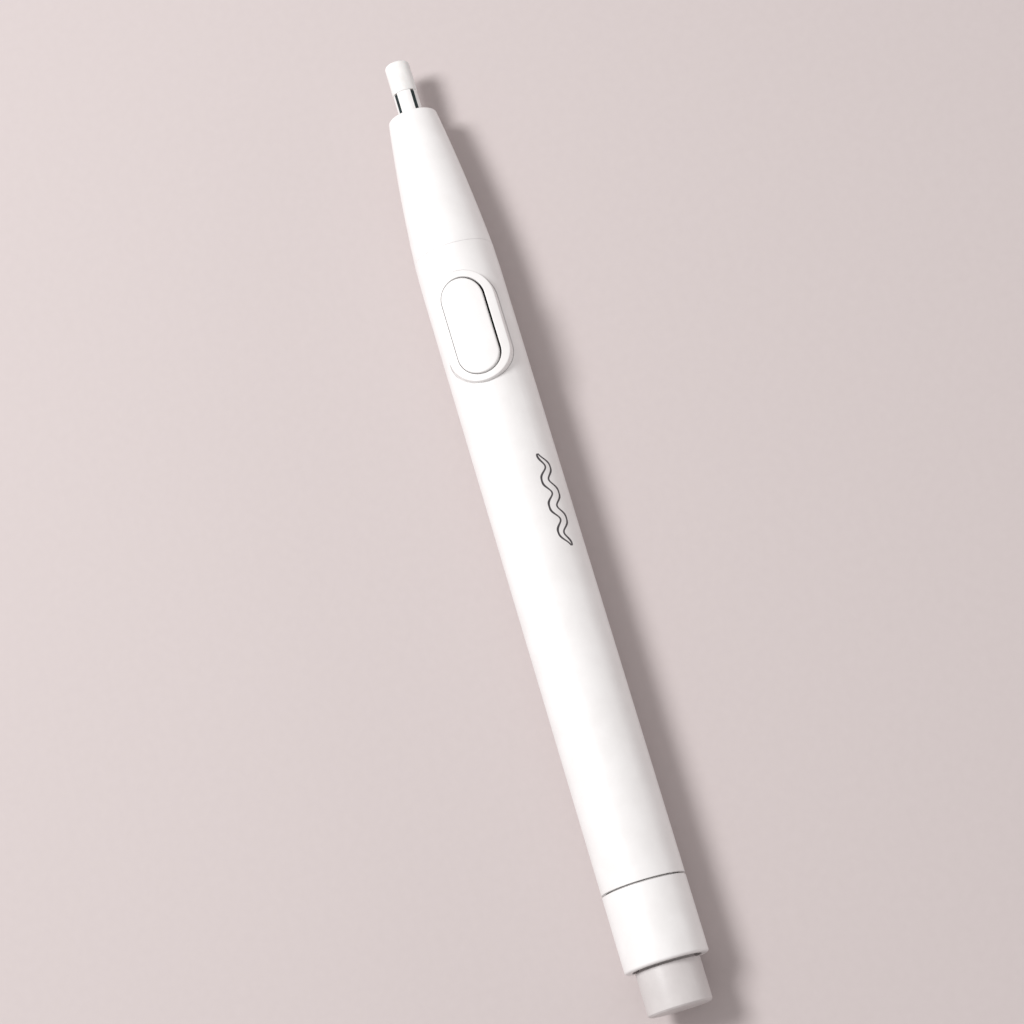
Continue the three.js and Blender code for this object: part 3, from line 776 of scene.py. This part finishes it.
def ridge(name, start, root, crest):
    """A screw thread's ridge, swept along its helix, which fades in and out at its ends."""
    section = [(-RIDGE_FOOT, root), (-RIDGE_CREST, crest), (RIDGE_CREST, crest), (RIDGE_FOOT, root)]
    sides = len(section)
    steps = RIDGE_TURNS * RIDGE_STEPS
    vertices = []
    for step in range(steps + 1):
        turn = step / RIDGE_STEPS
        angle = 2 * math.pi * turn
        fade = min(1.0, RIDGE_FADE * min(step, steps - step) / steps)
        for offset, radius in section:
            height = root + (radius - root) * fade
            x = start + turn * THREAD_LEAD + offset
            vertices.append(place(x, height * math.cos(angle), height * math.sin(angle)))
    rows = [range(step * sides, (step + 1) * sides) for step in range(steps + 1)]
    ends = [tuple(rows[0]), tuple(rows[-1])]
    return new_piece(name, vertices, ends + quads(zip(rows, rows[1:]), sides))


def tail_cap():
    """The screw cap: skirt, knob socket, seal seat and threaded spigot in one piece."""
    groove = CAP_SEAM - SEAM_WIDTH / 2
    groove_r = R - SEAM_DEPTH
    skirt_end = CAP_SEAM + SEAM_WIDTH / 2 - SEAM_SLIT
    socket = KNOB_R + KNOB_ROOM
    mouth = KNOB_R + MOUTH_ROOM
    mouth_end = SHOULDER + MOUTH_DEPTH
    piece = turned(
        "tail_cap_shell",
        [
            (SOCKET_END, 0, 0),
            (SOCKET_END, socket, SOFT),
            (mouth_end + MOUTH_TAPER, socket, FINE),
            (mouth_end, mouth, EDGE),
            (SHOULDER, mouth, MOUTH_EDGE),
            (SHOULDER, R, SHOULDER_ROUND),
            (groove, R, FINE),
            (groove, groove_r, CRISP),
            (skirt_end, groove_r, CRISP),
            (skirt_end, SPIGOT_R, EDGE),
            (SEAL_SEAT[0], SPIGOT_R, FINE),
            (SEAL_SEAT[0], SEAL_SEAT_R, EDGE),
            (SEAL_SEAT[1], SEAL_SEAT_R, EDGE),
            (SEAL_SEAT[1], SPIGOT_R, FINE),
            (SPIGOT_END, SPIGOT_R, SPIGOT_ROUND),
            (SPIGOT_END, SPIGOT_BORE_R, EDGE),
            (WEB_END, SPIGOT_BORE_R, CORNER),
            (WEB_END, 0, 0),
        ],
        closed=False,
    )
    thread = ridge("cap_thread", THREAD_START, SPIGOT_R - RIDGE_SINK, CAP_CREST)
    combine(piece, thread, "UNION")
    settle(piece, CAP, "white_shell", SHELL, "tail_cap")


def tail_knob():
    """The grey knob: bevelled at its end, necked where it leaves the cap, hollow inside."""
    end = node_span("tail_knob")[1]
    neck = SHOULDER - NECK_WIDTH
    piece = turned(
        "tail_knob_shell",
        [
            (0, 0, 0),
            (0, KNOB_R - BEVEL_DEPTH, EDGE),
            (BEVEL_LENGTH, KNOB_R, BEVEL_ROUND),
            (neck, KNOB_R, NECK_EDGE),
            (neck, NECK_R, EDGE),
            (NECK_END, NECK_R, EDGE),
            (NECK_END, KNOB_R, FINE),
            (end, KNOB_R, CORNER),
            (end, CUP_R, EDGE),
            (CUP_FLOOR, CUP_R, CUP_ROUND),
            (CUP_FLOOR, 0, 0),
        ],
        closed=False,
    )
    settle(piece, CAP, "grey_knob", KNOB, "tail_knob")


def seal_ring():
    """The rubber ring in the cap's seal seat, round in section."""
    low, high = node_span("cap_seal_ring")
    middle, radius = (low + high) / 2, (high - low) / 2
    centre = node_radius("cap_seal_ring") - radius
    steps = 20
    turn = 2 * math.pi / steps
    section = [
        (middle + radius * math.cos(turn * step), centre + radius * math.sin(turn * step), 0)
        for step in range(steps)
    ]
    piece = turned("cap_seal", section)
    settle(piece, CAP, "dark_rubber", DARK_RUBBER, "cap_seal_ring")


def barrel():
    """The white tube, open for the cap, the button and the nose."""
    rear = CAP_SEAM + SEAM_WIDTH / 2
    front = NOSE_SEAM - NOSE_GAP / 2
    piece = turned(
        "barrel_tube",
        [
            (rear, R, FINE),
            (NOSE_SOCKET, R, TAPER_ROUND),
            (front, BARREL_FRONT_R, SEAM_EDGE),
            (front, NOSE_SOCKET_R, EDGE),
            (NOSE_SOCKET, NOSE_SOCKET_R, EDGE),
            (NOSE_SOCKET, BORE_R, EDGE),
            (THREAD_BORE_END + THREAD_RELIEF, BORE_R, EDGE),
            (THREAD_BORE_END, THREAD_BORE_R, EDGE),
            (rear, THREAD_BORE_R, SOFT),
        ],
    )
    combine(piece, button_opening(), "DIFFERENCE")
    combine(piece, pad_groove(), "DIFFERENCE")
    cut_tab_pockets(piece)
    thread_start = THREAD_START + THREAD_LEAD / 2
    thread = ridge("barrel_thread", thread_start, THREAD_BORE_R + RIDGE_SINK, BARREL_CREST)
    combine(piece, thread, "UNION")
    settle(piece, HANDLE, "white_shell", BARREL, "barrel")


def button_opening():
    """A cut right through the barrel's wall, a little larger than the button."""
    radius = BUTTON_WIDTH / 2 + BUTTON_GAP
    levels = [(BUTTON_REACH, radius, flat(height)) for height in (BELOW_WALL, ABOVE_PAD)]
    return stadium_solid("opening", levels, closed=False)


def pad_groove():
    """A shallow cut under the pad's edge, which leaves a fine seam round its foot."""
    outer = PAD_WIDTH / 2 + PAD_LEAN + PAD_FOOT + PAD_SEAM
    inner = outer - PAD_CUT
    bottom = on_tube(R - PAD_SEAM_DEPTH)
    levels = [
        (PAD_REACH, outer, bottom),
        (PAD_REACH, outer, flat(ABOVE_PAD)),
        (PAD_REACH, inner, flat(ABOVE_PAD)),
        (PAD_REACH, inner, bottom),
    ]
    return stadium_solid("pad_groove", levels, closed=True)


def end_blocks(name, reach, half_width, heights):
    """A block at each end of the button, from a little inside it out to `reach` beyond it."""
    inner, outer = BUTTON_LENGTH / 2 - TAB_ROOT, BUTTON_LENGTH / 2 + reach
    for side in (-1, 1):
        low, high = sorted((BUTTON_MID + side * inner, BUTTON_MID + side * outer))
        yield block(name, (low, -half_width, heights[0]), (high, half_width, heights[1]))


def cut_tab_pockets(piece):
    """Room under the wall for the button's two tabs, over their whole stroke."""
    reach, half = TAB_REACH + TAB_ROOM, TAB_HALF + TAB_ROOM
    for pocket in end_blocks("pocket", reach, half, POCKET_HEIGHTS):
        combine(piece, pocket, "DIFFERENCE")


def button_pad():
    """The raised pad round the button: a crowned stadium frame that flows into the barrel."""
    inner = BUTTON_WIDTH / 2 + BUTTON_GAP
    outer = PAD_WIDTH / 2
    levels = [(BUTTON_REACH, inner, on_tube(PAD_ROOT_R))]
    levels += edge_arc(BUTTON_REACH, inner, PAD_TOP, PAD_LIP, -1)
    top_inner, top_outer = inner + PAD_LIP, outer - PAD_EDGE
    for step in range(1, PAD_TOP_STEPS):
        share = step / PAD_TOP_STEPS
        reach = BUTTON_REACH + (PAD_REACH - BUTTON_REACH) * share
        radius = top_inner + (top_outer - top_inner) * share
        levels.append((reach, radius, crowned(PAD_TOP)))
    levels += reversed(edge_arc(PAD_REACH, outer, PAD_TOP, PAD_EDGE, 1))

    wall = outer + PAD_LEAN
    for step in range(PAD_FOOT_STEPS + 1):
        share = step / PAD_FOOT_STEPS
        out, up = PAD_FOOT * share**2, PAD_FOOT * (1 - share) ** 2
        levels.append((PAD_REACH, wall + out, on_tube(R, above=up)))
    levels.append((PAD_REACH, wall + PAD_FOOT, on_tube(R - PAD_SKIRT)))
    levels.append((PAD_REACH, wall, on_tube(PAD_ROOT_R)))
    piece = stadium_solid("button_pad", levels, closed=True)
    cut_tab_pockets(piece)
    settle(piece, HANDLE, "white_shell", SHELL, "barrel")


def button_cap():
    """The long push button, with a tab at each end and the pusher over the switch."""
    radius = BUTTON_WIDTH / 2
    levels = [
        (BUTTON_REACH, radius - UNDERSIDE_CHAMFER, flat(BUTTON_UNDERSIDE)),
        (BUTTON_REACH, radius, flat(BUTTON_UNDERSIDE + UNDERSIDE_CHAMFER)),
    ]
    levels += edge_arc(BUTTON_REACH, radius, BUTTON_TOP, BUTTON_EDGE, 1)
    for share in BUTTON_RINGS:
        levels.append((BUTTON_REACH, radius * share, crowned(BUTTON_TOP)))
    piece = stadium_solid("button_face", levels, closed=False)
    for tab in end_blocks("tab", TAB_REACH, TAB_HALF, TAB_HEIGHTS):
        combine(piece, tab, "UNION")
    pusher = block(
        "pusher",
        (SWITCH_X - PUSHER_REACH, -PUSHER_HALF, PUSHER_BOTTOM),
        (SWITCH_X + PUSHER_REACH, PUSHER_HALF, BUTTON_UNDERSIDE + PUSHER_SINK),
    )
    combine(piece, pusher, "UNION")
    piece.data.transform(Matrix.Translation((0, BUTTON_SHIFT * MM, 0)))
    settle(piece, "button", "white_shell", SHELL, "button_cap")


def nose_taper(seam):
    """The nose's outline from its seam to its face: a straight taper that bulges a little."""
    points = []
    for step in range(TAPER_STEPS):
        share = step / TAPER_STEPS
        straight = NOSE_BASE_R + (NOSE_FACE_R - NOSE_BASE_R) * share
        bulge = 4 * NOSE_BULGE * share * (1 - share)
        fillet = 0 if step else SEAM_EDGE
        points.append((seam + (NOSE_FRONT - seam) * share, straight + bulge, fillet))
    return points


def nose_cone():
    """The tapered front shell: a spigot in the barrel, and steps for motor, bearing and collet."""
    seam = NOSE_SEAM + NOSE_GAP / 2
    piece = turned(
        "nose_shell",
        [
            (NOSE_REAR, MOTOR_BORE_R, EDGE),
            (NOSE_REAR, NOSE_SPIGOT_R, SOFT),
            (seam, NOSE_SPIGOT_R, 0),
            *nose_taper(seam),
            (NOSE_FRONT, NOSE_FACE_R, CORNER),
            (NOSE_FRONT, MOUTH_R, MOUTH_ROUND),
            (BEARING_STEP, MOUTH_R, FINE),
            (BEARING_STEP, BEARING_BORE_R, FINE),
            (COUPLING_STEP, BEARING_BORE_R, FINE),
            (COUPLING_STEP, COUPLING_BORE_R, FINE),
            (MOTOR_STEP, COUPLING_BORE_R, EDGE),
            (MOTOR_STEP, MOTOR_BORE_R, EDGE),
        ],
    )
    settle(piece, HANDLE, "white_shell", SHELL, "nose_cone")


def collet():
    """The slotted tube that grips the refill."""
    rear = node_span("collet")[0]
    front = HEAD_BASE - FIT
    outer = COLLET_R - FIT
    piece = turned(
        "collet_tube",
        [
            (rear, 0, 0),
            (rear, outer, COLLET_ROUND),
            (front, outer, SEAM_EDGE),
            (front, COLLET_BORE_R, COLLET_LIP),
            (COLLET_FLOOR, COLLET_BORE_R, EDGE),
            (COLLET_FLOOR, 0, 0),
        ],
        closed=False,
        sides=SMALL_SIDES,
    )
    half = SLOT_WIDTH / 2
    low, high = SLOT_HEIGHTS
    for slot in range(SLOTS):
        cutter = block("slot", (SLOT_START, -half, low), (HEAD_BASE + PAST_END, half, high))
        combine(piece, at_slot(cutter, slot), "DIFFERENCE")
    settle(piece, SPINDLE, "white_shell", SHELL, "collet")


def at_slot(bar, slot):
    """Turns a bar made above the axis round to one of the collet's slots."""
    turn = Matrix.Rotation(2 * math.pi * (slot + 0.5) / SLOTS, 4, "X")
    axis = Matrix.Translation((0, 0, AXIS_Z))
    bar.data.transform(axis @ turn @ axis.inverted())
    return bar


def grip_sleeve():
    """The dark liner of the collet, with a rib that nearly fills each slot; the near-black colour
    is painted shade that makes the slots look dark all through.
    """
    rear, front = node_span("grip_sleeve")
    outline = [
        (rear, LINER_BORE_R, 0),
        (rear, LINER_R, FINE),
        (front, LINER_R, FINE),
        (front, LINER_BORE_R, 0),
    ]
    piece = turned("grip_liner", outline, sides=LINER_SIDES)
    half = SLOT_WIDTH / 2 - RIB_ROOM
    start, end = SLOT_START + RIB_SETBACK, front - RIB_ROOM
    for slot in range(SLOTS):
        rib = block("rib", (start, -half, RIB_FOOT), (end, half, COLLET_R - RIB_DIP))
        combine(piece, at_slot(rib, slot), "UNION")
    # the ribs' near-black colour is painted shade that fills the collet's slots
    settle(piece, SPINDLE, "dark_sleeve", SLOT_SHADE_SLEEVE, "grip_sleeve")


def eraser_refill():
    """The eraser: a round-ended head outside the collet and a thinner shank inside it."""
    rear, front = node_span("eraser_refill")
    base = HEAD_BASE + FIT / 2
    piece = turned(
        "refill",
        [
            (rear, 0, 0),
            (rear, SHANK_R, SOFT),
            (base, SHANK_R, FINE),
            (base, HEAD_R, FINE),
            (front, HEAD_R, HEAD_ROUND),
            (front, 0, 0),
        ],
        closed=False,
        sides=SMALL_SIDES,
    )
    settle(piece, "eraser", "white_rubber", VINYL, "eraser_refill")


# ---------------------------------------------------------------- springs and CAD pieces

def coil(name, radius, wire, height, turns, direction):
    """A coil of round wire that stands on the origin and rises along `direction`."""
    steps_per_turn, sides = 40, 10
    steps = round(turns * steps_per_turn)
    across = direction.orthogonal().normalized()
    beside = direction.cross(across)
    margin = wire * COIL_MARGIN
    vertices, rows = [], []
    for step in range(steps + 1):
        share = step / steps
        angle = 2 * math.pi * turns * share
        outward = across * math.cos(angle) + beside * math.sin(angle)
        centre = outward * radius + direction * (margin + (height - 2 * margin) * share)
        rows.append(list(range(len(vertices), len(vertices) + sides)))
        for side in range(sides):
            turn = 2 * math.pi * side / sides
            offset = outward * math.cos(turn) + direction * math.sin(turn)
            vertices.append((centre + offset * wire) * MM)
    ends = [rows[0], rows[-1]]
    return new_piece(name, vertices, quads(zip(rows, rows[1:]), sides) + ends)


def battery_spring():
    """The spring that presses the cells forward."""
    low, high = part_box("battery_spring")
    radius = node_radius("battery_spring") - BATTERY_WIRE
    length = (high.x - low.x) / MM
    along = Vector((1, 0, 0))
    piece = coil("rear_spring", radius, BATTERY_WIRE, length, BATTERY_TURNS, along)
    piece.data.transform(Matrix.Translation((low.x, 0, AXIS_Z)))
    settle(piece, "battery_contact", "spring_steel", WIRE, "battery_spring")


def button_spring():
    """The button's return spring, drawn at its rest length."""
    low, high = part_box("button_spring")
    radius = node_radius("button_spring") - SWITCH_WIRE
    height = high.z - low.z
    up = Vector((0, 0, 1))
    foot = (place(SWITCH_X, 0, 0).x, 0, low.z)
    piece = coil("return_spring", radius, SWITCH_WIRE, height / MM, SWITCH_TURNS, up)
    piece.data.transform(Matrix.Translation(foot))
    settle(piece, HANDLE, "spring_steel", WIRE, "button_spring")
    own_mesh(piece)


def dress_nodes():
    """Materials for the CAD pieces that keep their own shape, by the record's slots."""
    finishes = {
        "dark_rubber": DARK_RUBBER,
        "black_plastic": BLACK_PLASTIC,
        "cream_plastic": CREAM_PLASTIC,
        "green_board": board(),
        "battery_foil": battery_jacket(),
        "steel": STEEL,
        "spring_steel": WIRE,
        "brass": BRASS,
        "copper": COPPER,
        "ferrite": FERRITE,
    }
    wound = windings()
    for subpart in frame["record"]["subparts"]:
        node, slot = subpart["node"], subpart["material_slot"]
        if slot not in finishes:
            continue
        material = wound if node.startswith("motor_winding") else finishes[slot]
        for material_slot in frame["nodes"][node].material_slots:
            material_slot.material = material


# ---------------------------------------------------------------- camera, light and floor

VIEW_TILT = math.radians(14.3)      # the pen's tail leans towards the camera
VIEW_ROLL = math.radians(16.77)     # the pen leans left in the view
VIEW_TURN = math.radians(5.0)       # the camera stands a little to the button's right
VIEW_DISTANCE = 2.77 * LENGTH
AIM_LEFT = 0.01989 * LENGTH         # the camera aims a little beside the pen's middle
AIM_UP = 0.00374 * LENGTH
LENS = 98.88                        # focal length and film width, in millimetres
FILM = 36.0


def camera():
    """The camera, above the pen, which sees the eraser end up and to the left."""
    pen_normal = Vector((0, -math.sin(VIEW_TURN), math.cos(VIEW_TURN)))
    pen_way = Vector((1, 0, 0))
    back = math.cos(VIEW_TILT) * pen_normal - math.sin(VIEW_TILT) * pen_way
    position = CENTRE + VIEW_DISTANCE * back
    pen_up = (pen_way - pen_way.dot(back) * back).normalized()
    pen_right = pen_up.cross(back).normalized()
    up = math.cos(VIEW_ROLL) * pen_up + math.sin(VIEW_ROLL) * pen_right
    right = up.cross(back).normalized()
    target = CENTRE - AIM_LEFT * right + AIM_UP * up
    back = (position - target).normalized()
    right = up.cross(back).normalized()
    up = back.cross(right)

    data = bpy.data.cameras.new("camera")
    data.sensor_width = FILM
    data.lens = LENS
    data.clip_start = 0.01
    data.clip_end = 20
    eye = bpy.data.objects.new("camera", data)
    turn = Matrix((right, up, back)).transposed().to_4x4()
    eye.matrix_world = Matrix.Translation(position) @ turn
    bpy.context.scene.collection.objects.link(eye)
    bpy.context.scene.camera = eye


def lamp(name, position, target, size, power, colour):
    """A soft rectangular lamp, `size` wide and high, that faces its target."""
    data = bpy.data.lights.new(name, "AREA")
    data.shape = "RECTANGLE"
    data.size, data.size_y = size
    data.energy = power
    data.color = colour
    light = bpy.data.objects.new(name, data)
    light.location = position
    way = Vector(target) - Vector(position)
    light.rotation_euler = way.to_track_quat("-Z", "Y").to_euler()
    bpy.context.scene.collection.objects.link(light)


def lights():
    """A key lamp high on one side, a long low one on the other, and a pale studio round them."""
    lamp(
        "key",
        position=(0.22, 0.36, 0.69),
        target=(0, 0, 0),
        size=(0.25, 0.25),
        power=5.2,
        colour=(1, 0.998, 0.995),
    )
    lamp(
        "edge",
        position=(0, -0.60, 0.16),
        target=(0, 0, 0.008),
        size=(0.7, 0.12),
        power=0.38,
        colour=(1, 0.97, 0.965),
    )
    world = bpy.data.worlds.new("studio")
    world.use_nodes = True
    background = world.node_tree.nodes["Background"]
    background.inputs["Color"].default_value = (1, 0.95, 0.945, 1)
    background.inputs["Strength"].default_value = 0.5
    bpy.context.scene.world = world
    bpy.context.scene.view_settings.view_transform = "Standard"


def floor():
    """The sheet of paper that the pen lies on."""
    half = 3.0
    corners = [(-half, -half, 0), (half, -half, 0), (half, half, 0), (-half, half, 0)]
    ground = new_piece("floor", corners, [(0, 1, 2, 3)])
    ground.data.materials.append(floor_paper())


camera()
lights()
floor()
tail_cap()
tail_knob()
seal_ring()
barrel()
button_pad()
button_cap()
nose_cone()
collet()
grip_sleeve()
eraser_refill()
battery_spring()
button_spring()
dress_nodes()
